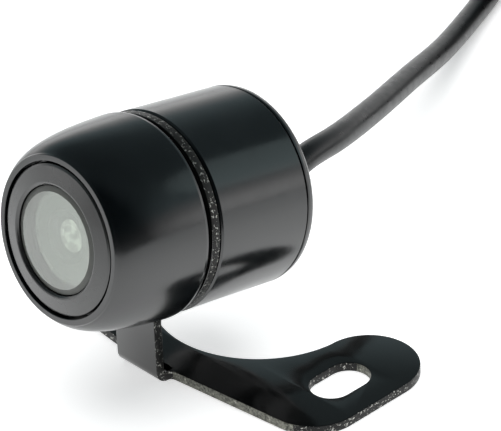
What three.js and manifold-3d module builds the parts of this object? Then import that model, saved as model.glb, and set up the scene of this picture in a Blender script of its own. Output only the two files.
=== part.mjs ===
// Round bullet reversing camera on a pressed two-slot bracket, with its cable, coil and plug.
// Millimetres, +Z up.  The origin is on the underside of the bracket plate, on its centre line.
// The camera looks along -Y, with its nose tipped up from the plate.
import * as THREE from "three";
import { mergeVertices } from "three/addons/utils/BufferGeometryUtils.js";
import Module from "manifold-3d";

const wasm = await Module();
wasm.setup();

// ---- driving dimensions ----------------------------------------------------------------
const GAP = 0.3;                 // clearance left between neighbouring pieces
const BODY_R = 12.0;             // rear casing radius
const NOSE_R = 12.2;             // front casing radius at its rear edge
const FRONT = -12.5;             // front face of the casing along the camera axis
const REAR = 16.5;               // rear face of the cap along the camera axis
const TILT = THREE.MathUtils.degToRad(10);   // camera axis against the plate
const RING_Y = -1.75;            // centre of the ring's front face
const RING_Z = 21.1;
const SHEET = 1.2;               // bracket sheet thickness
const RING_R = 11.9;             // bracket ring, outside
const RING_HOLE = 9.95;          // bracket ring, hole for the threaded neck
const NECK_R = 9.6;              // threaded neck of the front casing
const NECK_W = 7.0;              // width of the bracket's upright strip
const NECK_Y = -3.87;            // front face of the upright strip
const BEND_R = 1.7;              // outside radius of the bend
const PADDLE_X = 19.4;           // centre line of each wing paddle
const PADDLE_R = 6.1;
const PADDLE_Y0 = 6.1;           // front and rear centres of the paddle's round ends
const PADDLE_Y1 = 15.1;
const SLOT_W = 5.2;
const SLOT_L = 8.0;
const SLOT_Y = 10.4;
const SCOOP_R = 13.4;            // concave rear edge between the wings
const SCOOP_Y = 16.6;
const CABLE_D = 3.4;
const CABLE_R = CABLE_D / 2;
const CABLE_START = REAR + 3.4;  // where the free cable starts along the camera axis
const COIL_R = 18.5;             // mid radius of the coil
const COIL_PITCH = 3.5;          // spacing of the turns in the bundle
const COIL_LIFT = 0.8;           // thickness of tie below the coil
const TIE_T = 0.5;
const FLOOR_DIR = new THREE.Vector2(-0.42, 0.908).normalize();
const COIL_TOUCH = new THREE.Vector2(-43.3, 115.6);   // where the cable meets the coil
const PLUG_Z = 5.95;             // plug axis above the surface it lies on
const LATHE_STEPS = 72;

// ---- helpers ---------------------------------------------------------------------------
const root = new THREE.Group();
root.name = "backup_camera";

function toManifold(geometry) {
  const bare = new THREE.BufferGeometry();
  bare.setAttribute("position", geometry.getAttribute("position").clone());
  if (geometry.index) {
    bare.setIndex(geometry.index.clone());
  }
  const merged = mergeVertices(bare, 1e-4);
  const position = merged.getAttribute("position");
  const index = merged.index.array;
  const tris = [];
  for (let i = 0; i < index.length; i += 3) {
    const [a, b, c] = [index[i], index[i + 1], index[i + 2]];
    if (a !== b && b !== c && c !== a) {
      tris.push(a, b, c);
    }
  }
  const p = (k) => new THREE.Vector3().fromBufferAttribute(position, k);
  let volume = 0;
  for (let i = 0; i < tris.length; i += 3) {
    volume += p(tris[i]).dot(p(tris[i + 1]).cross(p(tris[i + 2])));
  }
  if (volume < 0) {
    for (let i = 0; i < tris.length; i += 3) {
      [tris[i], tris[i + 1]] = [tris[i + 1], tris[i]];
    }
  }
  const mesh = new wasm.Mesh({
    numProp: 3,
    vertProperties: new Float32Array(position.array),
    triVerts: new Uint32Array(tris),
  });
  mesh.merge();
  return new wasm.Manifold(mesh);
}

function toGeometry(solid) {
  const mesh = solid.getMesh();
  const geometry = new THREE.BufferGeometry();
  geometry.setAttribute("position", new THREE.BufferAttribute(new Float32Array(mesh.vertProperties), 3));
  geometry.setIndex(new THREE.BufferAttribute(new Uint32Array(mesh.triVerts), 1));
  const flat = geometry.toNonIndexed();
  flat.computeVertexNormals();
  return flat;
}

// A turned solid about the local Y axis.  Each profile pair is [radius, position].
function turned(profile, steps = LATHE_STEPS) {
  const points = profile.map(([r, s]) => new THREE.Vector2(r, s));
  const onAxis = profile[0][0] === 0 && profile[profile.length - 1][0] === 0;
  if (!onAxis) {
    points.push(points[0].clone());
  }
  return toManifold(new THREE.LatheGeometry(points, steps));
}

function tube(r0, r1, s0, s1, steps = 32) {
  return turned([[r0, s0], [r1, s0], [r1, s1], [r0, s1]], steps);
}

function rod(r, s0, s1, steps = 24) {
  return turned([[0, s0], [r, s0], [r, s1], [0, s1]], steps);
}

// A box in the camera's own frame: centre x and z, size x and z, from s0 to s1 along the axis.
function block(x, z, w, h, s0, s1) {
  const box = new THREE.BoxGeometry(w, s1 - s0, h);
  box.translate(x, (s0 + s1) / 2, z);
  return toManifold(box);
}

function material(colour, roughness, metalness) {
  return new THREE.MeshStandardMaterial({ color: colour, roughness, metalness });
}

function add(name, solid, look, matrix = null) {
  const geometry = toGeometry(solid);
  if (matrix) {
    geometry.applyMatrix4(matrix);
  }
  const mesh = new THREE.Mesh(geometry, look);
  mesh.name = name;
  root.add(mesh);
}

// The camera's frame: local Y runs back along the camera axis from the ring's front face.
const CAMERA = new THREE.Matrix4().makeRotationX(-TILT);
CAMERA.setPosition(0, RING_Y, RING_Z);
const addCam = (name, solid, look) => add(name, solid, look, CAMERA);

const BLACK = material(0x17191a, 0.42, 0.6);
const PAINT = material(0x1c1e1d, 0.4, 0.3);
const BEZEL = material(0x5f6261, 0.45, 0.5);
const GLASS = material(0xadb2ac, 0.08, 0.0);
const RUBBER = material(0x121212, 0.85, 0.0);
const JACKET = material(0x26282a, 0.6, 0.0);
const PCB = material(0x1f5a34, 0.5, 0.0);
const STEEL = material(0xb4b6b8, 0.35, 0.9);
const PLASTIC = material(0x1a1a1b, 0.5, 0.0);
const WHITE = material(0xd9d6cc, 0.55, 0.0);
const LENS = material(0x6f7f86, 0.05, 0.0);

// ---- bracket -----------------------------------------------------------------------------
function plateSolid() {
  const edge = THREE.MathUtils.degToRad(-85);
  const half = NECK_W / 2;
  const shape = new THREE.Shape();
  shape.moveTo(half, -2.9);
  shape.quadraticCurveTo(half + 0.1, -1.8, half + 1.4, -1.66);
  shape.absarc(PADDLE_X, PADDLE_Y0, PADDLE_R, edge, 0, false);
  shape.absarc(PADDLE_X, PADDLE_Y1, PADDLE_R, 0, Math.PI, false);
  shape.absarc(0, SCOOP_Y, SCOOP_R, -0.112, -Math.PI + 0.112, true);
  shape.absarc(-PADDLE_X, PADDLE_Y1, PADDLE_R, 0, Math.PI, false);
  shape.absarc(-PADDLE_X, PADDLE_Y0, PADDLE_R, Math.PI, Math.PI - edge, false);
  shape.lineTo(-half - 1.4, -1.66);
  shape.quadraticCurveTo(-half - 0.1, -1.8, -half, -2.9);
  shape.closePath();
  for (const side of [-1, 1]) {
    const r = SLOT_W / 2;
    const run = (SLOT_L - SLOT_W) / 2;
    const slot = new THREE.Path();
    slot.absarc(side * PADDLE_X, SLOT_Y + run, r, 0, Math.PI, false);
    slot.absarc(side * PADDLE_X, SLOT_Y - run, r, Math.PI, 2 * Math.PI, false);
    slot.closePath();
    shape.holes.push(slot);
  }
  return toManifold(new THREE.ExtrudeGeometry(shape, { depth: SHEET, bevelEnabled: false, curveSegments: 14 }));
}

// The strip rises from the plate, and leans back into the plane of the ring just below it.
function stripSolid() {
  const ringDown = RING_R + 0.3;
  const kinkZ = RING_Z - ringDown * Math.cos(TILT);
  const topZ = RING_Z - (RING_R - 0.9) * Math.cos(TILT);
  const frontY = (z) => RING_Y - (RING_Z - z) * Math.tan(TILT);
  const back = SHEET / Math.cos(TILT);
  const foot = NECK_Y;
  const side = new THREE.Shape();
  side.moveTo(-1.0, 0);
  side.lineTo(foot + BEND_R, 0);
  side.absarc(foot + BEND_R, BEND_R, BEND_R, -Math.PI / 2, -Math.PI, true);
  side.lineTo(foot, kinkZ - 0.6);
  side.lineTo(frontY(kinkZ), kinkZ);
  side.lineTo(frontY(topZ), topZ);
  side.lineTo(frontY(topZ) + back, topZ);
  side.lineTo(frontY(kinkZ) + back, kinkZ);
  side.lineTo(foot + SHEET, kinkZ - 0.6);
  side.lineTo(foot + SHEET, BEND_R);
  side.absarc(foot + BEND_R, BEND_R, BEND_R - SHEET, -Math.PI, -Math.PI / 2, false);
  side.lineTo(-1.0, SHEET);
  side.closePath();
  const strip = new THREE.ExtrudeGeometry(side, { depth: NECK_W, bevelEnabled: false, curveSegments: 8 });
  strip.translate(0, 0, -NECK_W / 2);
  // local X, Y, Z of the outline become Y, Z, X of the part
  strip.applyMatrix4(new THREE.Matrix4().set(0, 0, 1, 0, 1, 0, 0, 0, 0, 1, 0, 0, 0, 0, 0, 1));
  return toManifold(strip);
}

const ringGeometry = toGeometry(tube(RING_HOLE, RING_R, 0, SHEET, LATHE_STEPS));
ringGeometry.applyMatrix4(CAMERA);
const holeGeometry = toGeometry(rod(RING_HOLE, -1, SHEET + 1, LATHE_STEPS));
holeGeometry.applyMatrix4(CAMERA);
const bracket = plateSolid()
  .add(stripSolid())
  .add(toManifold(ringGeometry))
  .subtract(toManifold(holeGeometry));
add("mounting_bracket", bracket, PAINT);

// ---- front casing, bezel and window ----------------------------------------------------
addCam("front_casing", turned([
  [9.12, FRONT + 0.18], [9.3, FRONT - 0.1], [9.55, FRONT - 0.17], [9.85, FRONT - 0.05],
  [10.25, FRONT + 0.35], [10.75, FRONT + 1.2], [11.2, FRONT + 2.5], [11.6, FRONT + 4.4],
  [11.9, FRONT + 6.8], [12.1, FRONT + 9.4], [NOSE_R, FRONT + 11.3], [12.12, -0.85], [11.9, -0.7],
  [NECK_R, -0.7], [NECK_R, 3.3], [8.95, 3.3], [8.95, 4.5], [NECK_R, 4.5], [NECK_R, 7.4],
  [9.3, 7.7], [8.2, 7.7], [8.2, FRONT + 1.9], [9.12, FRONT + 1.9],
]), BLACK);
addCam("front_bezel", turned([
  [8.85, FRONT + 0.25], [8.8, FRONT], [8.55, FRONT - 0.12], [6.95, FRONT - 0.5],
  [6.8, FRONT - 0.54], [6.65, FRONT - 0.5], [6.5, FRONT - 0.36], [6.5, FRONT + 1.15],
  [5.2, FRONT + 1.15], [5.2, FRONT + 1.75], [8.85, FRONT + 1.75],
]), BEZEL);
addCam("front_glass", turned([
  [0, FRONT - 0.31], [5.65, FRONT - 0.31], [6.2, FRONT - 0.15], [6.2, FRONT + 0.6], [0, FRONT + 0.6],
]), GLASS);
addCam("glass_gasket", tube(5.35, 6.2, FRONT + 0.72, FRONT + 1.02, 48), RUBBER);
addCam("clamp_washer", tube(9.9, 11.3, -0.58, -0.13, 48), RUBBER);

// ---- lens group --------------------------------------------------------------------------
addCam("lens_barrel", turned([
  [3.3, -11.2], [4.9, -11.2], [4.9, -10.5], [3.9, -10.5], [3.9, -5.0], [2.4, -5.0], [2.4, -5.6], [3.3, -5.6],
], 48), PLASTIC);
addCam("lens_retaining_ring", tube(2.5, 3.1, -11.15, -10.75, 36), PLASTIC);
addCam("lens_element_front", turned([
  [0, -10.6], [1.6, -10.45], [3.0, -9.9], [3.0, -9.5], [1.8, -9.8], [0, -9.9],
], 36), LENS);
addCam("lens_element_middle", turned([
  [0, -9.2], [3.0, -8.9], [3.0, -8.5], [0, -8.2],
], 36), LENS);
addCam("aperture_ring", tube(0.9, 3.0, -8.05, -7.75, 36), PLASTIC);
addCam("lens_element_rear", turned([
  [0, -7.5], [1.7, -7.35], [3.0, -7.0], [3.0, -6.4], [1.7, -6.05], [0, -5.9],
], 36), LENS);

const holder = block(0, 0, 11.2, 11.2, -4.6, -1.45)
  .add(rod(5.2, -8.5, -4.4, 40))
  .subtract(block(0, 0, 8.4, 8.4, -4.0, -1.0))
  .subtract(rod(4.15, -9.0, -4.7, 40))
  .subtract(rod(3.2, -5.0, -3.5, 40));
addCam("lens_holder", holder, PLASTIC);
addCam("ir_filter", block(0, 0, 7.4, 7.4, -3.85, -3.45), material(0x9fb7a8, 0.05, 0.0));
addCam("image_sensor", block(0, 0, 6.4, 6.4, -2.4, -1.4), material(0x2a3a4a, 0.2, 0.2));

// ---- circuit boards and what stands between them --------------------------------------
const BOARD_R = 7.85;
const SCREW_X = 6.2;
function boardSolid(s0, s1) {
  let board = rod(BOARD_R, s0, s1, 48);
  for (const side of [-1, 1]) {
    const geometry = toGeometry(rod(0.85, s0 - 1, s1 + 1, 16));
    geometry.translate(side * SCREW_X, 0, 0);
    board = board.subtract(toManifold(geometry));
  }
  return board;
}
addCam("sensor_board", boardSolid(-1.25, -0.25), PCB);
addCam("power_board", boardSolid(4.05, 5.05), PCB);
addCam("signal_chip", block(0.6, -2.2, 4.2, 4.2, -0.1, 0.9), PLASTIC);
addCam("pin_header", block(0, 5.4, 6.2, 1.7, -0.1, 3.9), PLASTIC);
addCam("power_inductor", block(-2.6, 0.4, 3.2, 3.2, 2.0, 3.9), material(0x3b3734, 0.7, 0.1));

function shifted(solid, x, z) {
  const geometry = toGeometry(solid);
  geometry.translate(x, 0, z);
  return toManifold(geometry);
}
addCam("power_capacitor", shifted(rod(1.4, 1.4, 3.9, 24), 2.4, 1.2), material(0xa8abac, 0.3, 0.8));
for (const [label, side] of [["left", -1], ["right", 1]]) {
  addCam(`board_spacer_${label}`, shifted(tube(0.8, 1.45, -0.1, 3.9, 20), side * SCREW_X, 0), STEEL);
  const screw = turned([
    [0, -1.1], [0.55, -1.1], [0.55, 5.15], [1.25, 5.15], [1.25, 5.7], [0.9, 5.95], [0, 5.95],
  ], 20);
  addCam(`board_screw_${label}`, shifted(screw, side * SCREW_X, 0), STEEL);
}
const header = block(0, 0, 7.6, 4.2, 5.2, 8.4).subtract(block(0, 0, 6.6, 3.2, 5.8, 9));
addCam("wire_header", header, WHITE);
addCam("wire_plug", block(0, 0, 6.0, 2.6, 6.1, 9.4), WHITE);

const WIRES = [["red", 0xa02018], ["black", 0x151515], ["yellow", 0xc9a51e], ["white", 0xd8d8d2]];
WIRES.forEach(([label, colour], i) => {
  const wire = shifted(rod(0.45, 9.55, 12.1, 12), (i - 1.5) * 1.3, 0);
  addCam(`wire_${label}`, wire, material(colour, 0.6, 0.0));
});

// ---- rear casing, cap and gland --------------------------------------------------------
const seal = new THREE.TorusGeometry(9.42, 0.32, 8, 56);
seal.rotateX(Math.PI / 2);
seal.translate(0, 3.9, 0);
addCam("body_seal", toManifold(seal), RUBBER);

const CAP_SCREW_R = 7.6;
const CAP_SCREWS = [90, 210, 330];
const capSpot = (degrees) => {
  const a = THREE.MathUtils.degToRad(degrees);
  return [CAP_SCREW_R * Math.cos(a), CAP_SCREW_R * Math.sin(a)];
};
let rearCasing = turned([
  [11.75, 1.45], [BODY_R, 1.7], [BODY_R, 14.75], [11.85, 14.9], [10.4, 14.9], [10.4, 12.3],
  [6.2, 12.3], [6.2, 10.9], [10.4, 10.9], [10.4, 8.9], [9.9, 8.4], [9.9, 2.3], [11.0, 2.3],
  [11.0, 1.45],
]);
let rearCap = turned([
  [3.3, 14.3], [8.7, 14.3], [8.7, 12.6], [10.1, 12.6], [10.1, 15.1], [11.85, 15.1], [BODY_R, 15.25],
  [BODY_R, 15.75], [11.86, 16.15], [11.55, 16.4], [11.15, REAR], [3.3, REAR],
]);
for (const degrees of CAP_SCREWS) {
  const [x, z] = capSpot(degrees);
  rearCasing = rearCasing.subtract(shifted(rod(0.8, 10, 13, 16), x, z));
  rearCap = rearCap
    .subtract(shifted(rod(0.95, 12, 17, 16), x, z))
    .subtract(shifted(rod(1.75, REAR - 0.95, 18, 24), x, z));
}
addCam("thrust_washer", tube(9.8, 10.8, 1.4, 2.1, 48), WHITE);
addCam("rear_casing", rearCasing, BLACK);
addCam("rear_cap", rearCap, BLACK);
CAP_SCREWS.forEach((degrees, i) => {
  const screw = turned([
    [0, 10.6], [0.5, 10.6], [0.65, 10.9], [0.65, 15.75], [1.5, 15.75], [1.5, 16.15], [1.1, 16.4],
    [0, 16.4],
  ], 20);
  addCam(`cap_screw_${i + 1}`, shifted(screw, ...capSpot(degrees)), STEEL);
});
addCam("cable_gland", turned([
  [0, 12.3], [4.4, 12.3], [4.4, 14.1], [3.0, 14.1], [3.0, 16.7], [3.5, 16.9], [3.5, 17.4],
  [2.5, 19.1], [0, 19.1],
], 36), RUBBER);

// ---- free cable ------------------------------------------------------------------------
const exitPoint = new THREE.Vector3(0, CABLE_START, 0).applyMatrix4(CAMERA);
const exitDir = new THREE.Vector3(0, Math.cos(TILT), -Math.sin(TILT));
const LAY_Z = CABLE_R + 0.05;
const coilTouch = (t, z) => new THREE.Vector3(
  COIL_TOUCH.x + t * FLOOR_DIR.x, COIL_TOUCH.y + t * FLOOR_DIR.y, z);
const ENTRY_Z = COIL_LIFT + COIL_PITCH / 2;
const LEAVE_Z = ENTRY_Z + 2 * COIL_PITCH;
const cableRoute = new THREE.CatmullRomCurve3([
  exitPoint,
  exitPoint.clone().addScaledVector(exitDir, 4),
  new THREE.Vector3(-1.2, 26.6, 16.6),
  new THREE.Vector3(-3.8, 34.2, 14.9),
  new THREE.Vector3(-9.4, 46.0, 11.7),
  new THREE.Vector3(-16.5, 59.8, 7.9),
  new THREE.Vector3(-23.3, 73.6, 4.3),
  new THREE.Vector3(-30.4, 87.6, LAY_Z + 0.2),
  coilTouch(-22, LAY_Z),
  coilTouch(-12.5, ENTRY_Z),
], false, "centripetal");

// A round-section tube along a route, with a level frame so that both end faces are square.
function cableTube(route, steps) {
  const section = new THREE.Shape();
  section.absarc(0, 0, CABLE_R, 0, 2 * Math.PI, false);
  return toManifold(new THREE.ExtrudeGeometry(section, {
    extrudePath: route, steps, bevelEnabled: false, curveSegments: 8,
  }));
}
add("cable", cableTube(cableRoute, 34), JACKET);

const coilNormal = new THREE.Vector2(FLOOR_DIR.y, -FLOOR_DIR.x);
const COIL_X = COIL_TOUCH.x + coilNormal.x * (COIL_R + COIL_PITCH / 2);
const COIL_Y = COIL_TOUCH.y + coilNormal.y * (COIL_R + COIL_PITCH / 2);
const COIL_IN = COIL_R - COIL_PITCH;
const COIL_OUT = COIL_R + COIL_PITCH;
const COIL_TOP = COIL_LIFT + 3 * COIL_PITCH;
// The Y axis of a turned solid stands up on the surface at the coil's centre.
const COIL_FRAME = new THREE.Matrix4().makeRotationX(Math.PI / 2);
COIL_FRAME.setPosition(COIL_X, COIL_Y, 0);
add("cable_coil", turned([
  [COIL_IN, COIL_LIFT + 0.8], [COIL_IN + 0.8, COIL_LIFT], [COIL_OUT - 0.8, COIL_LIFT],
  [COIL_OUT, COIL_LIFT + 0.8], [COIL_OUT, COIL_TOP - 0.8], [COIL_OUT - 0.8, COIL_TOP],
  [COIL_IN + 0.8, COIL_TOP], [COIL_IN, COIL_TOP - 0.8],
], 48), JACKET, COIL_FRAME);

// Each tie is a flat band round the bundle.
const TIE_W = 3.0;
const tieAngle = Math.atan2(coilNormal.y, coilNormal.x);
[tieAngle + 0.35, tieAngle + 1.9, tieAngle - 1.3].forEach((angle, i) => {
  const outer = new THREE.BoxGeometry(2 * COIL_PITCH + 2 * (GAP + TIE_T), TIE_W, COIL_TOP + GAP + TIE_T);
  outer.translate(COIL_R, 0, (COIL_TOP + GAP + TIE_T) / 2);
  const inner = new THREE.BoxGeometry(2 * COIL_PITCH + 2 * GAP, TIE_W * 2, COIL_TOP + GAP - TIE_T);
  inner.translate(COIL_R, 0, TIE_T + (COIL_TOP + GAP - TIE_T) / 2);
  const band = toManifold(outer).subtract(toManifold(inner));
  const turn = new THREE.Matrix4().makeRotationZ(angle);
  turn.setPosition(COIL_X, COIL_Y, 0);
  add(`coil_tie_${i + 1}`, band, PLASTIC, turn);
});

// ---- tail and plug ---------------------------------------------------------------------
// The cable leaves the coil on its far side and runs back beside it, down to the surface.
const coilLeave = (t, z) => new THREE.Vector3(
  COIL_X + coilNormal.x * (COIL_R + COIL_PITCH / 2) - t * FLOOR_DIR.x,
  COIL_Y + coilNormal.y * (COIL_R + COIL_PITCH / 2) - t * FLOOR_DIR.y, z);
const TAIL_END = 26;
const tailRoute = new THREE.CatmullRomCurve3([
  coilLeave(12.5, LEAVE_Z - 1.3),
  coilLeave(16.5, LEAVE_Z - 2.2),
  coilLeave(21, PLUG_Z + 0.4),
  coilLeave(TAIL_END, PLUG_Z),
], false, "centripetal");
add("cable_tail", cableTube(tailRoute, 8), JACKET);

// The plug's frame: local Y runs along the plug, away from the cable.
const PLUG = new THREE.Matrix4().makeRotationZ(Math.atan2(FLOOR_DIR.x, -FLOOR_DIR.y));
PLUG.setPosition(coilLeave(TAIL_END + GAP, PLUG_Z));
add("plug_boot", turned([
  [0, 0], [2.3, 0], [3.6, 16], [3.9, 19], [3.9, 21], [0, 21],
], 32), RUBBER, PLUG);
add("plug_body", turned([
  [0, 21.3], [4.3, 21.3], [4.8, 22], [4.8, 30], [4.2, 30.4], [4.2, 38], [3.6, 38.4], [3.6, 44],
  [3.0, 44], [3.0, 39.5], [0, 39.5],
], 40), PLASTIC, PLUG);
add("plug_ring", turned([
  [4.5, 31.2], [5.4, 30.9], [5.7, 31.3], [5.7, 42.3], [5.4, 42.8], [4.5, 42.8],
], 40), PLASTIC, PLUG);
add("plug_insert", turned([[0, 39.8], [2.7, 39.8], [2.7, 41.2], [0, 41.2]], 28), WHITE, PLUG);
[45, 135, 225, 315].forEach((degrees, i) => {
  const a = THREE.MathUtils.degToRad(degrees);
  const pin = shifted(turned([[0, 41.5], [0.42, 41.5], [0.42, 43.3], [0.2, 43.7], [0, 43.7]], 12),
    1.35 * Math.cos(a), 1.35 * Math.sin(a));
  add(`plug_pin_${i + 1}`, pin, material(0xc6a24a, 0.3, 0.9), PLUG);
});

export default root;
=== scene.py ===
import bpy
import bmesh
import math
from mathutils import Matrix, Vector


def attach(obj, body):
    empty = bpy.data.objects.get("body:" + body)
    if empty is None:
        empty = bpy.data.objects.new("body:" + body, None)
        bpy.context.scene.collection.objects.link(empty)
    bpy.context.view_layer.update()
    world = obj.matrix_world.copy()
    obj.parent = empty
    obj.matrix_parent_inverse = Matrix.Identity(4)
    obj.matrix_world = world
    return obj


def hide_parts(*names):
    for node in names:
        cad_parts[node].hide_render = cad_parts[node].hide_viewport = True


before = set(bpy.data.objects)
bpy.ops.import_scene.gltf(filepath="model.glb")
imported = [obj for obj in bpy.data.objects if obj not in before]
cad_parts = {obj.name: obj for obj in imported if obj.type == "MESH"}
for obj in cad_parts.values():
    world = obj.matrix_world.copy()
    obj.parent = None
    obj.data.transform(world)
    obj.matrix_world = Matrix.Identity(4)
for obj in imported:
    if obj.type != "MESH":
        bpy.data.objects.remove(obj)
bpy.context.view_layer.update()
MM = 0.001

# ---- dimensions shared with the CAD, in millimetres ------------------------------------
FRONT, REAR = -12.5, 16.5
TILT = math.radians(10)
RING_Y, RING_Z = -1.75, 21.1
RING_IN, RING_OUT = 9.95, 11.9
SHEET = 1.2                      # thickness of the bracket's sheet
CABLE_R = 1.7
COIL_R, COIL_PITCH, COIL_LIFT = 18.5, 3.5, 0.8
COIL_TOUCH = Vector((-43.3, 115.6))
FLOOR_DIR = Vector((-0.42, 0.908)).normalized()
FLOOR_SIDE = Vector((FLOOR_DIR.y, -FLOOR_DIR.x))
PLUG_Z = 5.95
TAIL_END = 26.0

# Local Y of this frame runs back along the camera axis from the ring's front face.
RING_CENTRE = Vector((0, RING_Y, RING_Z))
CAMERA = Matrix.Translation(RING_CENTRE * MM) @ Matrix.Rotation(-TILT, 4, "X")
AXIS = (CAMERA.to_3x3() @ Vector((0, 1, 0))).normalized()
COIL_CENTRE = COIL_TOUCH + FLOOR_SIDE * (COIL_R + COIL_PITCH / 2)

# Edges that turn by more than this stay sharp when a mesh is shaded smooth.
TURNED_SHARP = math.radians(32)
PRESSED_SHARP = math.radians(35)


# ---- camera --------------------------------------------------------------------------------
def make_camera():
    """The main view: a long lens from the front right and above."""
    azimuth, elevation, roll = math.radians(47.606), math.radians(31.431), math.radians(2.419)
    aim, distance = Vector((0.00602, 0.00965, 0.01837)), 0.3358
    back = Vector((math.sin(azimuth) * math.cos(elevation),
                   -math.cos(azimuth) * math.cos(elevation), math.sin(elevation)))
    level = Vector((math.cos(azimuth), math.sin(azimuth), 0))
    down = (-back).cross(level)
    right = math.cos(roll) * level + math.sin(roll) * down
    up = back.cross(right)
    cam = bpy.data.objects.new("main_camera", bpy.data.cameras.new("main_camera"))
    bpy.context.scene.collection.objects.link(cam)
    place = Matrix((right, up, back)).transposed().to_4x4()
    place.translation = aim + back * distance
    cam.matrix_world = place
    cam.data.lens = 208.4
    cam.data.sensor_width = 36
    cam.data.clip_start, cam.data.clip_end = 0.01, 20
    bpy.context.scene.camera = cam


make_camera()


# ---- node helpers --------------------------------------------------------------------------
def colour_ramp(tree, source, stops):
    """A ramp fed by the source.  Each stop is (place, grey value or colour)."""
    node = tree.nodes.new("ShaderNodeValToRGB")
    while len(node.color_ramp.elements) < len(stops):
        node.color_ramp.elements.new(0.5)
    for element, (at, colour) in zip(node.color_ramp.elements, stops):
        element.position = at
        if not hasattr(colour, "__len__"):
            colour = (colour, colour, colour)
        element.color = (*colour, 1)
    tree.links.new(source, node.inputs["Fac"])
    return node.outputs["Color"]


class Shader:
    """A material with one Principled node, and short calls for the nodes that feed it."""

    def __init__(self, name):
        self.mat = bpy.data.materials.new(name)
        self.mat.use_nodes = True
        self.nodes, self.links = self.mat.node_tree.nodes, self.mat.node_tree.links
        self.bsdf = self.nodes["Principled BSDF"]
        self.coords = self.nodes.new("ShaderNodeTexCoord").outputs["Object"]

    def set(self, **values):
        for key, value in values.items():
            self.bsdf.inputs[key.replace("_", " ")].default_value = value

    def stretched(self, scale):
        node = self.nodes.new("ShaderNodeMapping")
        node.inputs["Scale"].default_value = scale
        self.links.new(self.coords, node.inputs["Vector"])
        return node.outputs["Vector"]

    def noise(self, scale, detail=3.0, rough=0.55, stretch=None):
        node = self.nodes.new("ShaderNodeTexNoise")
        node.inputs["Scale"].default_value = scale
        node.inputs["Detail"].default_value = detail
        node.inputs["Roughness"].default_value = rough
        self.links.new(self.stretched(stretch) if stretch else self.coords, node.inputs["Vector"])
        return node.outputs["Fac"]

    def cells(self, scale, stretch=None):
        node = self.nodes.new("ShaderNodeTexVoronoi")
        node.inputs["Scale"].default_value = scale
        self.links.new(self.stretched(stretch) if stretch else self.coords, node.inputs["Vector"])
        return node.outputs["Distance"]

    def ramp(self, source, stops):
        return colour_ramp(self.mat.node_tree, source, stops)

    def math(self, kind, a, b):
        node = self.nodes.new("ShaderNodeMath")
        node.operation = kind
        for socket, value in zip(node.inputs, (a, b)):
            if isinstance(value, (int, float)):
                socket.default_value = value
            else:
                self.links.new(value, socket)
        return node.outputs["Value"]

    def to(self, name, source):
        self.links.new(source, self.bsdf.inputs[name])

    def bump(self, *layers):
        """Each layer is (height source, strength, depth in millimetres)."""
        normal = None
        for source, strength, depth in layers:
            node = self.nodes.new("ShaderNodeBump")
            node.inputs["Strength"].default_value = strength
            node.inputs["Distance"].default_value = depth * MM
            self.links.new(source, node.inputs["Height"])
            if normal is not None:
                self.links.new(normal, node.inputs["Normal"])
            normal = node.outputs["Normal"]
        self.links.new(normal, self.bsdf.inputs["Normal"])


# ---- materials -----------------------------------------------------------------------------
def anodised(name, dark, light, roughness, ior):
    """Anodised aluminium: fine turning lines, a little colour drift and a fine grain."""
    s = Shader(name)
    s.set(IOR=ior, Metallic=0.0)
    s.to("Base Color", s.ramp(s.noise(180, 4), [(0.35, dark), (0.7, light)]))
    lines = s.noise(60, 2, 0.6, stretch=(1, 260, 1))
    s.to("Roughness", s.ramp(s.noise(260, 3), [(0.3, roughness - 0.03), (0.75, roughness + 0.05)]))
    s.bump((lines, 0.10, 0.004), (s.noise(3000, 2), 0.35, 0.009))
    return s.mat


def paint(name, colour, roughness, grain, ior):
    """Black baked paint with slight orange peel."""
    s = Shader(name)
    s.set(IOR=ior)
    low = tuple(c * 0.75 for c in colour)
    s.to("Base Color", s.ramp(s.noise(240, 4), [(0.3, low), (0.75, colour)]))
    s.to("Roughness", s.ramp(s.noise(420, 3), [(0.3, roughness - 0.04), (0.75, roughness + 0.06)]))
    s.bump((s.noise(1500, 2), grain, 0.012), (s.noise(7000, 2), grain * 0.6, 0.004))
    return s.mat


def cut_steel(name):
    """Sheared sheet edge: grey-olive, torn across its thickness, with bright flecks."""
    s = Shader(name)
    s.set(IOR=1.7, Metallic=0.55)
    grain = s.noise(3200, 5, 0.7)
    s.to("Base Color", s.ramp(grain, [
        (0.36, (0.02, 0.021, 0.017)), (0.5, (0.14, 0.143, 0.118)), (0.62, (0.24, 0.24, 0.2)),
        (0.7, (0.7, 0.7, 0.64))]))
    s.to("Roughness", s.ramp(grain, [(0.3, 0.62), (0.7, 0.3)]))
    s.bump((s.noise(2600, 4, 0.7), 0.9, 0.05), (s.cells(5200), 0.5, 0.03))
    return s.mat


def chipped_edge(name):
    """A painted edge, rough across the sheet, with small bright chips through the paint."""
    s = Shader(name)
    s.set(IOR=1.35)
    chips = s.math("GREATER_THAN", s.noise(2700, 4, 0.75), 0.6)
    s.to("Base Color", s.ramp(chips, [(0.0, (0.008, 0.008, 0.0075)), (1.0, (0.6, 0.6, 0.56))]))
    s.to("Metallic", s.math("MULTIPLY", chips, 0.8))
    s.to("Roughness", s.ramp(s.noise(1800, 4), [(0.3, 0.5), (0.7, 0.32)]))
    s.bump((s.noise(2300, 4, 0.7), 0.9, 0.06))
    return s.mat


def plastic(name, colour, roughness, bump=0.2, scale=4200, ior=1.5):
    """Moulded plastic or rubber with a fine spark-eroded grain."""
    s = Shader(name)
    s.set(IOR=ior)
    low = tuple(c * 0.78 for c in colour)
    s.to("Base Color", s.ramp(s.noise(300, 4), [(0.3, low), (0.75, colour)]))
    s.to("Roughness", s.ramp(s.noise(700, 3), [(0.3, roughness - 0.06), (0.75, roughness + 0.06)]))
    s.bump((s.noise(scale, 3), bump, 0.02))
    return s.mat


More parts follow.
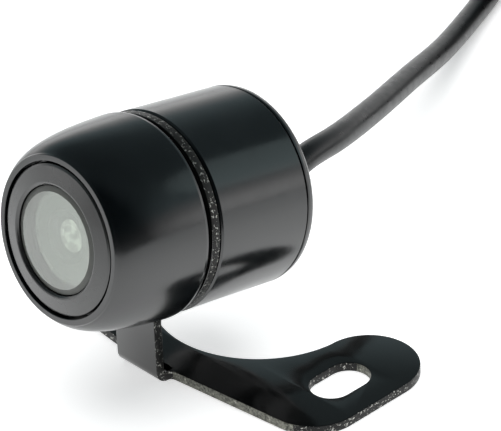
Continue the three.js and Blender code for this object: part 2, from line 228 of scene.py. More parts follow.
def metal(name, colour, roughness, stretch=(1, 1, 1)):
    """Bare or plated metal with a fine grain, packed closer along an axis of larger stretch."""
    s = Shader(name)
    s.set(Metallic=1.0)
    low = tuple(c * 0.8 for c in colour)
    s.to("Base Color", s.ramp(s.noise(500, 4), [(0.3, low), (0.7, colour)]))
    s.to("Roughness", s.ramp(s.noise(900, 3), [(0.3, roughness - 0.08), (0.7, roughness + 0.08)]))
    s.bump((s.noise(3000, 3, 0.6, stretch), 0.15, 0.01))
    return s.mat


def circuit_board(name):
    """Green solder mask over copper tracks, with small tinned pads."""
    s = Shader(name)
    tracks = s.cells(900, stretch=(1, 0.02, 1))
    s.to("Base Color", s.ramp(tracks, [
        (0.10, (0.62, 0.6, 0.5)), (0.14, (0.01, 0.10, 0.03)), (0.42, (0.012, 0.12, 0.04)),
        (0.46, (0.02, 0.2, 0.07))]))
    s.set(Roughness=0.35)
    s.bump((tracks, 0.4, 0.03), (s.noise(5000, 2), 0.1, 0.01))
    return s.mat


def lens_glass(name, tint):
    """Clear coated glass with a slight drift of its tint."""
    s = Shader(name)
    s.set(IOR=1.52, Coat_Weight=0.3, Transmission_Weight=1.0)
    light = tuple(min(1, c * 1.04) for c in tint)
    s.to("Base Color", s.ramp(s.noise(150, 2), [(0.2, tint), (0.8, light)]))
    s.to("Roughness", s.ramp(s.noise(600, 2), [(0.3, 0.02), (0.8, 0.04)]))
    return s.mat


def lens_painted_glint(name):
    """The front lens behind the window: a dome with a pale painted highlight and glowing spots that are
    painted glints.
    """
    s = Shader(name)
    s.set(IOR=1.9, Emission_Color=(1, 0.98, 0.94, 1))
    # Painted highlight: the pale base colour stands in for the light that the lens catches.
    s.to("Base Color", s.ramp(s.noise(300, 4), [(0.3, (0.72, 0.7, 0.67)), (0.75, (0.9, 0.88, 0.85))]))
    s.to("Roughness", s.ramp(s.noise(700, 3), [(0.3, 0.05), (0.75, 0.16)]))
    # Painted glints: spots of the dome glow, though the dome is no lamp.
    s.to("Emission Strength", s.ramp(s.noise(1100, 3), [(0.45, 0.1), (0.62, 0.75)]))
    s.bump((s.noise(900, 3), 0.3, 0.02))
    return s.mat


def window_glass(name):
    """The flat front pane: a hazy grey-green mirror coat over clear tinted glass."""
    s = Shader(name)
    s.set(Metallic=1.0)
    s.to("Base Color", s.ramp(s.noise(260, 3), [(0.3, (0.72, 0.745, 0.71)), (0.7, (0.77, 0.79, 0.76))]))
    s.to("Roughness", s.ramp(s.noise(500, 3), [(0.3, 0.10), (0.7, 0.16)]))
    clear = s.nodes.new("ShaderNodeBsdfTransparent")
    clear.inputs["Color"].default_value = (0.70, 0.75, 0.70, 1)
    mix = s.nodes.new("ShaderNodeMixShader")
    mix.inputs["Fac"].default_value = 0.33
    s.links.new(clear.outputs["BSDF"], mix.inputs[1])
    s.links.new(s.bsdf.outputs["BSDF"], mix.inputs[2])
    s.links.new(mix.outputs["Shader"], s.nodes["Material Output"].inputs["Surface"])
    return s.mat


ANODISED = anodised("black_anodised", (0.0016, 0.0024, 0.003), (0.003, 0.0044, 0.0052), 0.17, 1.79)
BEZEL = anodised("grey_anodised", (0.007, 0.0075, 0.0075), (0.012, 0.0125, 0.012), 0.26, 1.85)
PAINT = paint("bracket_paint", (0.004, 0.0042, 0.0042), 0.13, 0.2, 1.9)
CUT = cut_steel("bracket_cut_edge")
CHIPPED = chipped_edge("bracket_painted_edge")
RUBBER = plastic("black_rubber", (0.009, 0.009, 0.009), 0.6, 0.35, 3000)
JACKET = plastic("cable_jacket", (0.005, 0.0052, 0.0057), 0.32, 0.3, 2400, 1.4)
BLACK_PLASTIC = plastic("black_plastic", (0.012, 0.012, 0.0125), 0.4)
WHITE_PLASTIC = plastic("white_nylon", (0.6, 0.58, 0.52), 0.4)
CHIP = plastic("chip_body", (0.02, 0.02, 0.022), 0.5, 0.3, 6000)
STEEL = metal("zinc_plate", (0.62, 0.62, 0.63), 0.28)
CAN = metal("drawn_can", (0.7, 0.71, 0.72), 0.22, (1, 40, 1))
GOLD = metal("gold_contact", (0.85, 0.62, 0.25), 0.2)
BOARD = circuit_board("circuit_board")
LENS = lens_glass("coated_lens", (0.86, 0.93, 0.95))
FILTER = lens_glass("filter_glass", (0.6, 0.8, 0.7))
WINDOW = window_glass("window_glass")
GROUND_GLASS = plastic("window_ground_edge", (0.10, 0.105, 0.095), 0.45, 0.2, 5000)
LENS_PAINTED_GLINT = lens_painted_glint("front_lens_painted_glint")


# ---- mesh helpers --------------------------------------------------------------------------
def baked(name, bm):
    """The mesh of a finished bmesh, which is freed."""
    mesh = bpy.data.meshes.new(name)
    bm.to_mesh(mesh)
    bm.free()
    return mesh


def smooth_shaded(mesh, sharp):
    mesh.shade_smooth()
    mesh.set_sharp_from_angle(angle=sharp)


def add_object(name, data):
    obj = bpy.data.objects.new(name, data)
    bpy.context.scene.collection.objects.link(obj)
    return obj


def link(name, mesh, body, matrix=Matrix.Identity(4), materials=(), replaces=()):
    """A piece of the object: it rides a body and may stand for CAD nodes."""
    obj = add_object(name, mesh)
    obj.matrix_world = matrix
    for m in materials:
        mesh.materials.append(m)
    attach(obj, body)
    if replaces:
        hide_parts(*replaces)
    return obj


def filleted(profile, radius, closed, parts):
    """The profile with each corner rounded to at most radius, in millimetres."""
    nearly_straight = math.radians(86)
    most = 0.45                  # largest share of a side that one corner may take
    pts = [Vector(p) for p in profile]
    out = []
    n = len(pts)
    for i, p in enumerate(pts):
        if not closed and i in (0, n - 1):
            out.append(p)
            continue
        a, b = pts[i - 1] - p, pts[(i + 1) % n] - p
        if a.length < 1e-9 or b.length < 1e-9:
            continue
        half = a.angle(b) / 2
        if half > nearly_straight:
            out.append(p)
            continue
        cut = min(radius / math.tan(half), a.length * most, b.length * most)
        p0, p1 = p + a.normalized() * cut, p + b.normalized() * cut
        for k in range(parts + 1):
            t = k / parts
            out.append(p0 * (1 - t) ** 2 + p * 2 * t * (1 - t) + p1 * t ** 2)
    return out


def turned(name, profile, body, material, fillet, steps, matrix=CAMERA, parts=4,
           ripple=None):
    """A solid turned about local Y, which stands for the CAD node of that name.

    The profile holds [radius, position] pairs in millimetres.  A ripple scales the radius.
    """
    on_axis = profile[0][0] == 0 and profile[-1][0] == 0
    pts = filleted(profile, fillet, not on_axis, parts)
    bm = bmesh.new()
    rings = []
    for p in pts:
        if p.x < 1e-6:
            rings.append([bm.verts.new((0, p.y * MM, 0))])
            continue
        ring = []
        for k in range(steps):
            a = 2 * math.pi * k / steps
            r = p.x * (ripple(a, p.y, p.x) if ripple else 1) * MM
            ring.append(bm.verts.new((r * math.cos(a), p.y * MM, r * math.sin(a))))
        rings.append(ring)
    last = len(rings) - 1 if on_axis else len(rings)
    for i in range(last):
        a, b = rings[i], rings[(i + 1) % len(rings)]
        for k in range(steps):
            j = (k + 1) % steps
            loop = [a[k % len(a)], a[j % len(a)], b[j % len(b)], b[k % len(b)]]
            face = list(dict.fromkeys(loop))
            if len(face) > 2:
                bm.faces.new(face)
    bmesh.ops.recalc_face_normals(bm, faces=bm.faces)
    mesh = baked(name, bm)
    smooth_shaded(mesh, TURNED_SHARP)
    obj = link(f"{name}_look", mesh, body, matrix, [material], ())
    smooth = obj.modifiers.new("weighted", "WEIGHTED_NORMAL")
    smooth.keep_sharp = True
    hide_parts(name)
    return obj


def smooth_line(points, per):
    """A Catmull-Rom line through the points, with per pieces between two of them."""
    pts = [Vector(p) for p in points]
    ends = [2 * pts[0] - pts[1], *pts, 2 * pts[-1] - pts[-2]]
    out = []
    for i in range(1, len(ends) - 2):
        p0, p1, p2, p3 = ends[i - 1:i + 3]
        for k in range(per):
            t = k / per
            out.append(0.5 * (2 * p1 + (p2 - p0) * t + (2 * p0 - 5 * p1 + 4 * p2 - p3) * t ** 2
                              + (3 * p1 - p0 - 3 * p2 + p3) * t ** 3))
    out.append(pts[-1])
    return out


def cutter(r, s0, s1, x, z):
    """A round bar along local Y from s0 to s1, to cut a hole with."""
    bm = bmesh.new()
    bmesh.ops.create_cone(bm, cap_ends=True, segments=32, radius1=r * MM, radius2=r * MM,
                          depth=(s1 - s0) * MM)
    bmesh.ops.rotate(bm, verts=bm.verts, matrix=Matrix.Rotation(math.pi / 2, 3, "X"))
    bmesh.ops.translate(bm, verts=bm.verts, vec=Vector((x, (s0 + s1) / 2, z)) * MM)
    return baked("cutter", bm)


def block(bm, place, size):
    """Adds a block of that size in millimetres, and returns its corners."""
    scale = Matrix.Diagonal(Vector((*size, 1 / MM)) * MM)
    return bmesh.ops.create_cube(bm, size=1, matrix=place @ scale)["verts"]


def carve(obj, *meshes):
    """Cuts the meshes, given in the object's own frame, out of it."""
    obj.modifiers["weighted"].show_viewport = False
    for mesh in meshes:
        tool = add_object("cutter", mesh)
        tool.matrix_world = obj.matrix_world
        mod = obj.modifiers.new("cut", "BOOLEAN")
        mod.operation, mod.solver, mod.object = "DIFFERENCE", "EXACT", tool
        bpy.context.view_layer.update()
        dg = bpy.context.evaluated_depsgraph_get()
        made = bpy.data.meshes.new_from_object(obj.evaluated_get(dg))
        obj.modifiers.remove(mod)
        materials = list(obj.data.materials)
        obj.data = made
        obj.data.materials.clear()
        for m in materials:
            obj.data.materials.append(m)
        bpy.data.objects.remove(tool)
    obj.modifiers["weighted"].show_viewport = True
    smooth_shaded(obj.data, TURNED_SHARP)


def on_circle(radius, degrees):
    """The x and z of a place round local Y, in millimetres."""
    a = math.radians(degrees)
    return radius * math.cos(a), radius * math.sin(a)


# ---- free cable ----------------------------------------------------------------------------
def on_floor(t, z):
    """A point of the straight run that touches the coil, t past the touch."""
    p = COIL_TOUCH + FLOOR_DIR * t
    return Vector((p.x, p.y, z))


def off_coil(t, z):
    """A point of the tail, t back from where it leaves the far side of the coil."""
    p = COIL_TOUCH + FLOOR_SIDE * (2 * COIL_R + COIL_PITCH) - FLOOR_DIR * t
    return Vector((p.x, p.y, z))


def cable_line():
    """The whole cable: gland, sag to the surface, the turns of the coil, and its tail."""
    lay = CABLE_R + 0.05
    entry = COIL_LIFT + COIL_PITCH / 2
    leave = entry + 2 * COIL_PITCH
    start = RING_CENTRE + AXIS * (REAR + 2.3)
    exit_point = RING_CENTRE + AXIS * (REAR + 3.4)
    run = smooth_line([
        start, exit_point, exit_point + AXIS * 4, (-1.2, 26.6, 16.6), (-3.8, 34.2, 14.9),
        (-9.4, 46.0, 11.7), (-16.5, 59.8, 7.9), (-23.3, 73.6, 4.3), (-30.4, 87.6, lay + 0.2),
        on_floor(-22, lay), on_floor(-12.5, entry), on_floor(-5, entry)], 4)

    # Each turn sits in its own cell of the bundle, (radius, height).  Past this share of a turn the
    # cable moves to the next cell: it rises first, and then shifts.
    stay, haste = 0.68, 1.6
    out, inn = COIL_R + COIL_PITCH / 2, COIL_R - COIL_PITCH / 2
    rows = [entry, entry + COIL_PITCH, entry + 2 * COIL_PITCH]
    cells = [(out, rows[0]), (inn, rows[0]), (inn, rows[1]), (out, rows[1]), (inn, rows[2]),
             (out, rows[2])]
    start_angle = math.atan2(-FLOOR_SIDE.y, -FLOOR_SIDE.x)
    coil = []
    per_turn = 28
    for k in range(int(per_turn * (len(cells) - 0.5)) + 1):
        turn = k / per_turn
        i = min(int(turn), len(cells) - 1)
        nxt = cells[min(i + 1, len(cells) - 1)]
        t = min(1.0, max(0.0, (turn - i - stay) / (1 - stay))) if i + 1 < len(cells) else 0.0
        rise, shift = min(1.0, t * haste), max(0.0, t * haste - (haste - 1))
        rise, shift = rise * rise * (3 - 2 * rise), shift * shift * (3 - 2 * shift)
        r = cells[i][0] + (nxt[0] - cells[i][0]) * shift
        z = cells[i][1] + (nxt[1] - cells[i][1]) * rise
        a = start_angle - 2 * math.pi * turn
        coil.append(Vector((COIL_CENTRE.x + r * math.cos(a), COIL_CENTRE.y + r * math.sin(a), z)))
    tail = smooth_line([off_coil(0, leave), off_coil(6, leave - 0.2), off_coil(12.5, leave - 1.3),
                        off_coil(16.5, leave - 2.2), off_coil(21, PLUG_Z + 0.4),
                        off_coil(TAIL_END, PLUG_Z), off_coil(TAIL_END + 1.5, PLUG_Z)], 3)
    return [p * MM for p in (*run, *coil[0:-1], *tail)]


line = cable_line()


def make_cable():
    """The cable as one round curve along its line."""
    curve = bpy.data.curves.new("cable", "CURVE")
    curve.dimensions = "3D"
    curve.bevel_depth = CABLE_R * MM
    curve.bevel_resolution = 6
    curve.use_fill_caps = True
    spline = curve.splines.new("POLY")
    spline.points.add(len(line) - 1)
    for point, p in zip(spline.points, line):
        point.co = (*p, 1)
    spline.use_smooth = True
    obj = add_object("free_cable", curve)
    curve.materials.append(JACKET)
    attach(obj, "bracket")
    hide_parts("cable", "cable_coil", "cable_tail")
    return obj


free_cable = make_cable()

# ---- camera body ---------------------------------------------------------------------------
nose = smooth_line([
    (9.85, FRONT - 0.05), (10.25, FRONT + 0.35), (10.75, FRONT + 1.2), (11.2, FRONT + 2.5),
    (11.6, FRONT + 4.4), (11.9, FRONT + 6.8), (12.1, FRONT + 9.4), (12.2, FRONT + 11.3)], 4)
turned("front_casing", [
    [9.12, FRONT + 0.1], [9.13, FRONT - 0.15], [9.19, FRONT - 0.2], [9.76, FRONT - 0.2],
    [9.86, FRONT - 0.14], *nose[1:],
    [12.16, -0.86], [11.9, -0.7], [9.6, -0.7], [9.6, 3.3], [8.95, 3.3], [8.95, 4.5], [9.6, 4.5],
    [9.6, 7.4], [9.3, 7.7], [8.2, 7.7], [8.2, FRONT + 1.9], [9.12, FRONT + 1.9]],
    "camera_body", ANODISED, 0.07, 160)
turned("front_bezel", [
    [8.85, FRONT + 0.2], [8.8, FRONT], [8.55, FRONT - 0.14], [6.98, FRONT - 0.5],
    [6.78, FRONT - 0.54], [6.62, FRONT - 0.48], [6.42, FRONT - 0.3], [6.42, FRONT + 1.15],
    [5.2, FRONT + 1.15], [5.2, FRONT + 1.75], [8.85, FRONT + 1.75]],
    "camera_body", BEZEL, 0.06, 160)
GLASS_FLAT = 5.66                # radius of the clear flat, inside its ground edge
glass = turned("front_glass", [
    [0, FRONT - 0.31], [GLASS_FLAT, FRONT - 0.31], [6.3, FRONT - 0.12], [6.3, FRONT + 0.6],
    [0, FRONT + 0.6]], "camera_body", WINDOW, 0.03, 128)
glass.data.materials.append(GROUND_GLASS)
for face in glass.data.polygons:
    if math.hypot(face.center.x, face.center.z) > (GLASS_FLAT + 0.01) * MM:
        face.material_index = 1
turned("clamp_washer", [[9.9, -0.58], [11.3, -0.58], [11.3, -0.13], [9.9, -0.13]],
       "camera_body", RUBBER, 0.1, 96)
turned("rear_casing", [
    [11.78, 1.45], [12.0, 1.65], [12.0, 14.86], [11.95, 14.91], [10.4, 14.91], [10.4, 12.3],
    [6.2, 12.3], [6.2, 10.9], [10.4, 10.9], [10.4, 8.9], [9.9, 8.4], [9.9, 2.3], [11.0, 2.3],
    [11.0, 1.45]], "rear_housing", ANODISED, 0.06, 160)
rear_cap = turned("rear_cap", [
    [3.3, 14.3], [8.7, 14.3], [8.7, 12.6], [10.1, 12.6], [10.1, 15.08], [11.95, 15.08],
    [12.0, 15.13], [12.0, 15.4], [11.9, 15.85], [11.62, 16.2], [11.2, 16.43], [10.8, REAR],
    [3.3, REAR]], "rear_housing", ANODISED, 0.3, 160)
turned("cable_gland", [
    [1.78, 12.3], [4.4, 12.3], [4.4, 14.1], [3.0, 14.1], [3.0, 16.7], [3.5, 16.85], [3.5, 17.35],
    [3.05, 17.5], [2.95, 17.8], [3.1, 18.0], [2.95, 18.25], [2.75, 18.35], [2.7, 18.6],
    [2.8, 18.75], [2.5, 19.1], [1.78, 19.1]], "rear_housing", RUBBER, 0.08, 64)

GLINT_R, GLINT_BACK = 1.95, -10.3  # the dome that gets the painted glint: its radius, and how far back it reaches
front_lens = turned("lens_element_front", [
    [0, -10.72], [0.7, -10.70], [1.2, -10.62], [1.3, -10.52], [1.45, -10.6], [1.9, -10.5],
    [2.05, -10.3], [3.0, -9.95], [3.0, -9.5], [1.8, -9.8], [0, -9.9]],
    "camera_body", BLACK_PLASTIC, 0.05, 64)
front_lens.data.materials.append(LENS_PAINTED_GLINT)
# Faces of the dome inside this radius and in front of this depth get the painted glint material.
for face in front_lens.data.polygons:
    radius = math.hypot(face.center.x, face.center.z)
    if radius < GLINT_R * MM and face.center.y < GLINT_BACK * MM:
        face.material_index = 1

# ---- bracket -------------------------------------------------------------------------------
EDGE = 0.1                       # rounding of the sheet's edges


def plate_mesh():
    """The plate with its wings and slots, as a filled outline with rounded edges."""
    paddle_x, paddle_r, y0, y1 = 19.4, 6.1, 6.1, 15.1
    slot_r, slot_y0, slot_y1 = 2.6, 9.0, 11.8
    hollow_r, hollow_y = 13.4, 16.6

    def arc(cx, cy, r, a0, a1, n):
        return [(cx + r * math.cos(a0 + (a1 - a0) * k / n), cy + r * math.sin(a0 + (a1 - a0) * k / n))
                for k in range(n + 1)]

    edge = math.radians(-85)
    right = [(3.5, -2.6), (3.52, -2.2), (3.62, -1.95), (3.9, -1.76), (4.4, -1.67)]
    right += arc(paddle_x, y0, paddle_r, edge, 0, 24)
    right += arc(paddle_x, y1, paddle_r, 0, math.pi, 48)[:-1]
    right += arc(0, hollow_y, hollow_r, -0.112, -math.pi / 2, 30)
    outline = right[:-1] + [(-x, y) for x, y in reversed(right)]
    slots = []
    for side in (-1, 1):
        cx = side * paddle_x
        slots.append(arc(cx, slot_y1, slot_r, 0, math.pi, 24)
                     + arc(cx, slot_y0, slot_r, math.pi, 2 * math.pi, 24))
    curve = bpy.data.curves.new("plate", "CURVE")
    curve.dimensions, curve.fill_mode = "2D", "BOTH"
    curve.extrude = (SHEET / 2 - EDGE) * MM
    curve.bevel_depth = EDGE * MM
    curve.bevel_resolution = 3
    curve.offset = -EDGE * MM
    for ring in (outline, *slots):
        spline = curve.splines.new("POLY")
        spline.points.add(len(ring) - 1)
        for point, (x, y) in zip(spline.points, ring):
            point.co = (x * MM, y * MM, 0, 1)
        spline.use_cyclic_u = True
    obj = add_object("plate", curve)
    bpy.context.view_layer.update()
    mesh = bpy.data.meshes.new_from_object(obj.evaluated_get(bpy.context.evaluated_depsgraph_get()))
    bpy.data.objects.remove(obj)
    mesh.transform(Matrix.Translation((0, 0, SHEET / 2 * MM)))
    return mesh


def strip_mesh():
    """The upright strip: bend at the foot, and a slight set back into the plane of the ring."""
    kink = RING_Z - (RING_OUT + 0.3) * math.cos(TILT)
    top = RING_Z - (RING_OUT - 0.9) * math.cos(TILT)

    def front(z):
        return RING_Y - (RING_Z - z) * math.tan(TILT)

    foot, bend, back = -3.87, 1.7, SHEET / math.cos(TILT)
    angles = [math.pi / 2 * k / 10 for k in range(11)]
    outer = [(-1.2, 0.0)]
    outer += [(foot + bend - bend * math.sin(a), bend - bend * math.cos(a)) for a in angles]
    outer += [(foot, kink - 0.9), (foot + 0.03, kink - 0.5), (front(kink), kink), (front(top), top)]
    inner = [(-1.2, SHEET)]
    ri = bend - SHEET
    inner += [(foot + bend - ri * math.sin(a), bend - ri * math.cos(a)) for a in angles]
    inner += [(foot + SHEET, kink - 0.9), (foot + SHEET + 0.03, kink - 0.5),
              (front(kink) + back, kink), (front(top) + back, top)]
    half = 3.5
    bm = bmesh.new()
    rows = []
    for x in (-half, half):
        rows.append([bm.verts.new((x * MM, y * MM, z * MM)) for y, z in outer + inner[::-1]])
    n = len(rows[0])
    for k in range(n):
        j = (k + 1) % n
        bm.faces.new([rows[0][k], rows[0][j], rows[1][j], rows[1][k]])
    m = len(outer)
    for row in rows:
        for k in range(m - 1):
            bm.faces.new([row[k], row[k + 1], row[n - 2 - k], row[n - 1 - k]])
    bmesh.ops.recalc_face_normals(bm, faces=bm.faces)
    rims = [e for e in bm.edges if len(e.link_faces) == 2
            and abs(e.link_faces[0].normal.x) + abs(e.link_faces[1].normal.x) > 0.9
            and abs(e.link_faces[0].normal.dot(e.link_faces[1].normal)) < 0.5]
    bmesh.ops.bevel(bm, geom=rims, offset=EDGE * MM, segments=3, affect="EDGES", profile=0.5)
    return baked("strip", bm)


def ring_mesh():
    """The ring that the casings clamp, in the camera's frame."""
    pts = filleted([(RING_IN, 0), (RING_OUT, 0), (RING_OUT, SHEET), (RING_IN, SHEET)], EDGE, True, 3)
    bm = bmesh.new()
    steps = 160
    rings = [[bm.verts.new((p.x * math.cos(a) * MM, p.y * MM, p.x * math.sin(a) * MM))
              for a in [2 * math.pi * k / steps for k in range(steps)]] for p in pts]
    for i in range(len(rings)):
        a, b = rings[i], rings[(i + 1) % len(rings)]
        for k in range(steps):
            bm.faces.new([a[k], a[(k + 1) % steps], b[(k + 1) % steps], b[k]])
    bmesh.ops.recalc_face_normals(bm, faces=bm.faces)
    mesh = baked("ring", bm)
    mesh.transform(CAMERA)
    return mesh


def edge_kind(place, normal):
    """Which material a face of the pressing has: 0 paint, 1 bare cut steel, 2 chipped edge."""
    rel = place - RING_CENTRE * MM
    along = rel.dot(AXIS)
    radial = rel - AXIS * along
    in_ring = abs(along - SHEET / 2 * MM) < 0.8 * MM and radial.length < (RING_OUT + 0.3) * MM
    in_wing = place.z < SHEET * MM and abs(place.x) > 3.6 * MM
    in_plate = place.z < SHEET * MM + 1e-5 and place.y > -1.4 * MM
    if in_ring:
        return 2 if abs(normal.dot(AXIS)) < 0.6 else 0
    if in_plate or in_wing:
        # Partly painted light: cut steel and chipped paint are real edge finishes, but only the
        # front-facing edges of the right half get the lighter bare steel, as painted light, and the
        # other edges keep the darker chipped edge, as painted shade.
        bare_where_lit = place.x > 0 and normal.y < -0.2 and normal.x < 0.4
        return 0 if abs(normal.z) > 0.6 else 1 if bare_where_lit else 2
    return 2 if abs(normal.x) > 0.6 else 0


def make_bracket():
    """The whole pressing: plate, strip and ring in one mesh."""
    bm = bmesh.new()
    for mesh in (plate_mesh(), strip_mesh(), ring_mesh()):
        bm.from_mesh(mesh)
        bpy.data.meshes.remove(mesh)
    bmesh.ops.remove_doubles(bm, verts=bm.verts, dist=1e-7)
    for f in bm.faces:
        f.material_index = edge_kind(f.calc_center_median(), f.normal)
    mesh = baked("mounting_bracket_look", bm)
    smooth_shaded(mesh, PRESSED_SHARP)
    return link("bracket_pressing", mesh, "bracket", materials=[PAINT, CUT, CHIPPED],
                replaces=["mounting_bracket"])


make_bracket()

# ---- coil ties and plug --------------------------------------------------------------------
PLUG = Matrix.Translation(off_coil(TAIL_END + 0.3, PLUG_Z) * MM) @ Matrix.Rotation(
    math.atan2(FLOOR_DIR.x, -FLOOR_DIR.y), 4, "Z")
plug_pieces = [
    turned("plug_boot", [
        [1.78, 0], [2.3, 0], [2.4, 2.5], [2.15, 2.8], [2.2, 3.4], [2.65, 3.7], [2.8, 5.5], [2.45, 5.8],
        [2.5, 6.4], [2.95, 6.7], [3.1, 8.5], [2.75, 8.8], [2.8, 9.4], [3.25, 9.7], [3.4, 11.5],
        [3.05, 11.8], [3.1, 12.4], [3.55, 12.7], [3.7, 16], [3.9, 19], [3.9, 21], [1.78, 21]],
        "bracket", RUBBER, 0.15, 48, PLUG),
    turned("plug_body", [
        [0, 21.3], [4.3, 21.3], [4.8, 22], [4.8, 30], [4.2, 30.4], [4.2, 38], [3.6, 38.4], [3.6, 44],
        [3.0, 44], [3.0, 39.5], [0, 39.5]], "bracket", BLACK_PLASTIC, 0.2, 72, PLUG),
    turned("plug_insert", [[0, 39.8], [2.7, 39.8], [2.7, 41.2], [0, 41.2]], "bracket",
           WHITE_PLASTIC, 0.12, 48, PLUG),
]


def knurl(angle, s, r):
    """The grip of the plug's ring: a share of the radius, with 30 grooves between its two rims."""
    grooves, depth = 30, 0.035
    if r > 5.2 and 32.0 < s < 41.6:
        return 1 - depth * (0.5 + 0.5 * math.cos(angle * grooves)) ** 2
    return 1


plug_nut = turned("plug_ring", [
    [4.5, 31.2], [5.4, 30.9], [5.7, 31.3], [5.7, 32.2], [5.66, 32.4], [5.66, 36.8], [5.66, 41.2],
    [5.7, 41.4], [5.7, 42.3], [5.4, 42.8], [4.5, 42.8]], "plug_nut", BLACK_PLASTIC, 0.15, 240, PLUG,
    parts=2, ripple=knurl)
PIN_CIRCLE = 1.35
for i, degrees in enumerate((45, 135, 225, 315)):
    x, z = on_circle(PIN_CIRCLE, degrees)
    shift = Matrix.Translation(Vector((x, 0, z)) * MM)
    plug_pieces.append(turned(
        f"plug_pin_{i + 1}", [[0, 41.2], [0.42, 41.2], [0.42, 43.2], [0.2, 43.7], [0, 43.7]],
        "bracket", GOLD, 0.1, 24, PLUG @ shift))


def make_tie(index, angle, full):
    """A cable tie: a thin band round the bundle, with its lock head outside.

    Where the last turn has already left the bundle, the band cuts across its top corner.
    """
    half = COIL_PITCH / 2 + CABLE_R            # from the middle of the bundle to its side
    x0, x1 = COIL_R - half - 0.22, COIL_R + half + 0.08
    z0, z1 = COIL_LIFT - 0.05, COIL_LIFT + 3 * COIL_PITCH + 0.05
    t, width = 0.65, 1.3                       # thickness of the band, and half its width
    cross = 4.4                                # how far the cut corner reaches along each side
    corner = [(x1, z1)] if full else [(x1, z1 - cross), (x1 - cross, z1)]
    proud = [(x1 + t, z1 + t)] if full else [
        (x1 + t, z1 + 0.4 * t - cross), (x1 + 0.4 * t - cross, z1 + t)]
    inner = filleted([(x0, z0), (x1, z0), *corner, (x0, z1)], 1.6, True, 5)
    outer = filleted([(x0 - t, z0 - t), (x1 + t, z0 - t), *proud, (x0 - t, z1 + t)], 2.1, True, 5)
    bm = bmesh.new()
    rows = [[bm.verts.new((p.x * MM, w * MM, p.y * MM)) for p in loop]
            for w, loop in ((-width, inner), (-width, outer), (width, outer), (width, inner))]
    n = len(inner)
    for a, b in zip(rows, rows[1:] + rows[:1]):
        for k in range(n):
            bm.faces.new([a[k], a[(k + 1) % n], b[(k + 1) % n], b[k]])
    seat = Vector((x1 - 5.4, 0, z1 + t + 0.3)) * MM
    head = block(bm, Matrix.Translation(seat), (3.2, 3.6, 1.7))
    bmesh.ops.recalc_face_normals(bm, faces=bm.faces)
    edges = [e for v in head for e in v.link_edges]
    bmesh.ops.bevel(bm, geom=list(dict.fromkeys(edges)), offset=0.12 * MM, segments=2, affect="EDGES")
    mesh = baked(f"coil_tie_{index}_look", bm)
    smooth_shaded(mesh, PRESSED_SHARP)
    place = Matrix.Translation(COIL_CENTRE.to_3d() * MM) @ Matrix.Rotation(angle, 4, "Z")
    return link(f"tie_band_{index}", mesh, "bracket", place, [BLACK_PLASTIC], [f"coil_tie_{index}"])


tie_angle = math.atan2(FLOOR_SIDE.y, FLOOR_SIDE.x)
ties = [make_tie(i + 1, tie_angle + turn, turn > 0) for i, turn in enumerate((0.35, 1.9, -1.3))]

# ---- cap screws ----------------------------------------------------------------------------
SCREW_CIRCLE, SCREW_TOP = 7.6, 16.4
cap_cuts = []
for i, degrees in enumerate((90, 210, 330)):
    x, z = on_circle(SCREW_CIRCLE, degrees)
    cap_cuts.append(cutter(1.75, REAR - 0.95, REAR + 1.5, x, z))
    shift = Matrix.Translation(Vector((x, 0, z)) * MM)
    screw = turned(f"cap_screw_{i + 1}", [
        [0, 10.6], [0.5, 10.6], [0.65, 10.9], [0.65, 15.75], [1.5, 15.75], [1.5, 16.15],
        [1.1, SCREW_TOP - 0.02], [0, SCREW_TOP]], "rear_housing", STEEL, 0.08, 40, CAMERA @ shift)
    # The two bars of the cross are cut one after the other.  Each screw stands turned differently.
    for turn in (0, math.pi / 2):
        bm = bmesh.new()
        place = Matrix.Translation((0, SCREW_TOP * MM, 0)) @ Matrix.Rotation(turn + 0.3 * i, 4, "Y")
        block(bm, place, (1.7, 0.8, 0.32))
        carve(screw, baked("slot_bar", bm))
carve(rear_cap, *cap_cuts)

# ---- finishes of the CAD pieces that stay --------------------------------------------------
FINISH = {
    RUBBER: ["glass_gasket", "body_seal"],
    BLACK_PLASTIC: ["lens_barrel", "lens_retaining_ring", "aperture_ring", "lens_holder",
                    "pin_header"],
    WHITE_PLASTIC: ["thrust_washer", "wire_header", "wire_plug"],
    CHIP: ["image_sensor", "signal_chip", "power_inductor"],
    LENS: ["lens_element_middle", "lens_element_rear"],
    FILTER: ["ir_filter"],
    BOARD: ["sensor_board", "power_board"],
    CAN: ["power_capacitor"],
    STEEL: ["board_spacer_left", "board_spacer_right", "board_screw_left", "board_screw_right"],
}
WIRE_COLOURS = {
    "red": (0.45, 0.02, 0.015),
    "black": (0.015, 0.015, 0.015),
    "yellow": (0.6, 0.4, 0.02),
    "white": (0.65, 0.65, 0.62),
}


def finish_node(name, material):
    """Gives a CAD node that stays its procedural material."""
    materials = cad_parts[name].data.materials
    materials.clear()
    materials.append(material)


for finish, names in FINISH.items():
    for name in names:
        finish_node(name, finish)
for name, colour in WIRE_COLOURS.items():
    finish_node(f"wire_{name}", plastic(f"insulation_{name}", colour, 0.4))


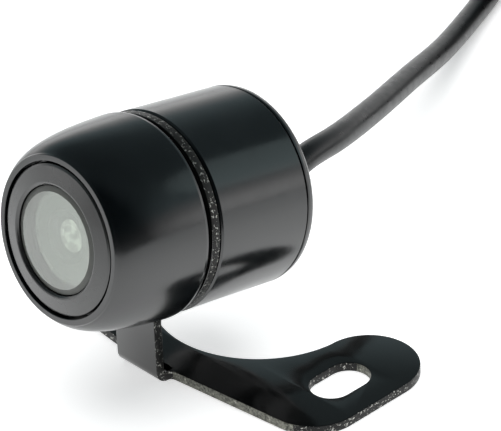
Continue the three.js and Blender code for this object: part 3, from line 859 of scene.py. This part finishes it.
# ---- stage ---------------------------------------------------------------------------------
def make_floor():
    """A pale paper floor that glows as painted light, most round the object, so that the shadow stays
    soft.
    """
    bm = bmesh.new()
    bmesh.ops.create_grid(bm, x_segments=1, y_segments=1, size=3.0)
    mesh = baked("floor", bm)
    floor = add_object("floor", mesh)
    s = Shader("floor_paper_glow")
    s.to("Base Color", s.ramp(s.noise(8, 2), [(0.3, 0.93), (0.7, 0.95)]))
    far = s.nodes.new("ShaderNodeVectorMath")
    far.operation = "LENGTH"
    s.links.new(s.coords, far.inputs[0])
    # Painted light: the floor glows, most of all near the object, to lift the object's shadow.
    s.to("Emission Strength", s.ramp(far.outputs["Value"], [(0.04, 0.62), (0.15, 0.28)]))
    s.set(Roughness=0.9, Emission_Color=(1, 1, 1, 1), Specular_IOR_Level=0.0)
    mesh.materials.append(s.mat)


def make_world():
    """The room: bright low down behind and beside the object, dark above and towards the viewer."""
    world = bpy.data.worlds.new("studio")
    bpy.context.scene.world = world
    world.use_nodes = True
    nodes, links = world.node_tree.nodes, world.node_tree.links
    coords = nodes.new("ShaderNodeTexCoord")
    split = nodes.new("ShaderNodeSeparateXYZ")
    links.new(coords.outputs["Generated"], split.inputs["Vector"])
    towards = nodes.new("ShaderNodeVectorMath")
    towards.operation = "DOT_PRODUCT"
    towards.inputs[1].default_value = (0.738, -0.675, 0.0)  # level, from the object to the viewer
    links.new(coords.outputs["Generated"], towards.inputs[0])

    def cool(v):
        """A grey with less red, for the upper part of the room."""
        return 0.77 * v, v, 1.05 * v

    height = colour_ramp(world.node_tree, split.outputs["Z"], [
        (0.0, 1.0), (0.12, 1.0), (0.22, 0.55), (0.36, cool(0.26)), (0.6, cool(0.09)),
        (1.0, cool(0.05))])
    near_viewer = colour_ramp(world.node_tree, towards.outputs["Value"], [
        (0.12, 1.0), (0.5, 0.12), (1.0, 0.06)])
    mix = nodes.new("ShaderNodeVectorMath")
    mix.operation = "MULTIPLY"
    links.new(height, mix.inputs[0])
    links.new(near_viewer, mix.inputs[1])
    links.new(mix.outputs["Vector"], nodes["Background"].inputs["Color"])
    nodes["Background"].inputs["Strength"].default_value = 1.3


def make_light(name, size, power, location, colour=(1, 1, 1), glossy=True):
    """A round area lamp that looks at the middle of the object."""
    data = bpy.data.lights.new(name, "AREA")
    data.shape, data.size, data.energy, data.color = "DISK", size, power, colour
    lamp = add_object(name, data)
    lamp.location = location
    aim = Vector((0, 0.01, 0.015)) - Vector(location)
    lamp.rotation_euler = aim.to_track_quat("-Z", "Y").to_euler()
    lamp.visible_glossy = glossy


make_floor()
make_world()
make_light("overhead", 1.6, 14.0, (-0.1, 0.1, 1.1), glossy=False)
make_light("back_card", 0.26, 0.06, (0.28, 0.45, 0.29), (0.82, 1.0, 1.0))
bpy.context.scene.view_settings.view_transform = "Standard"
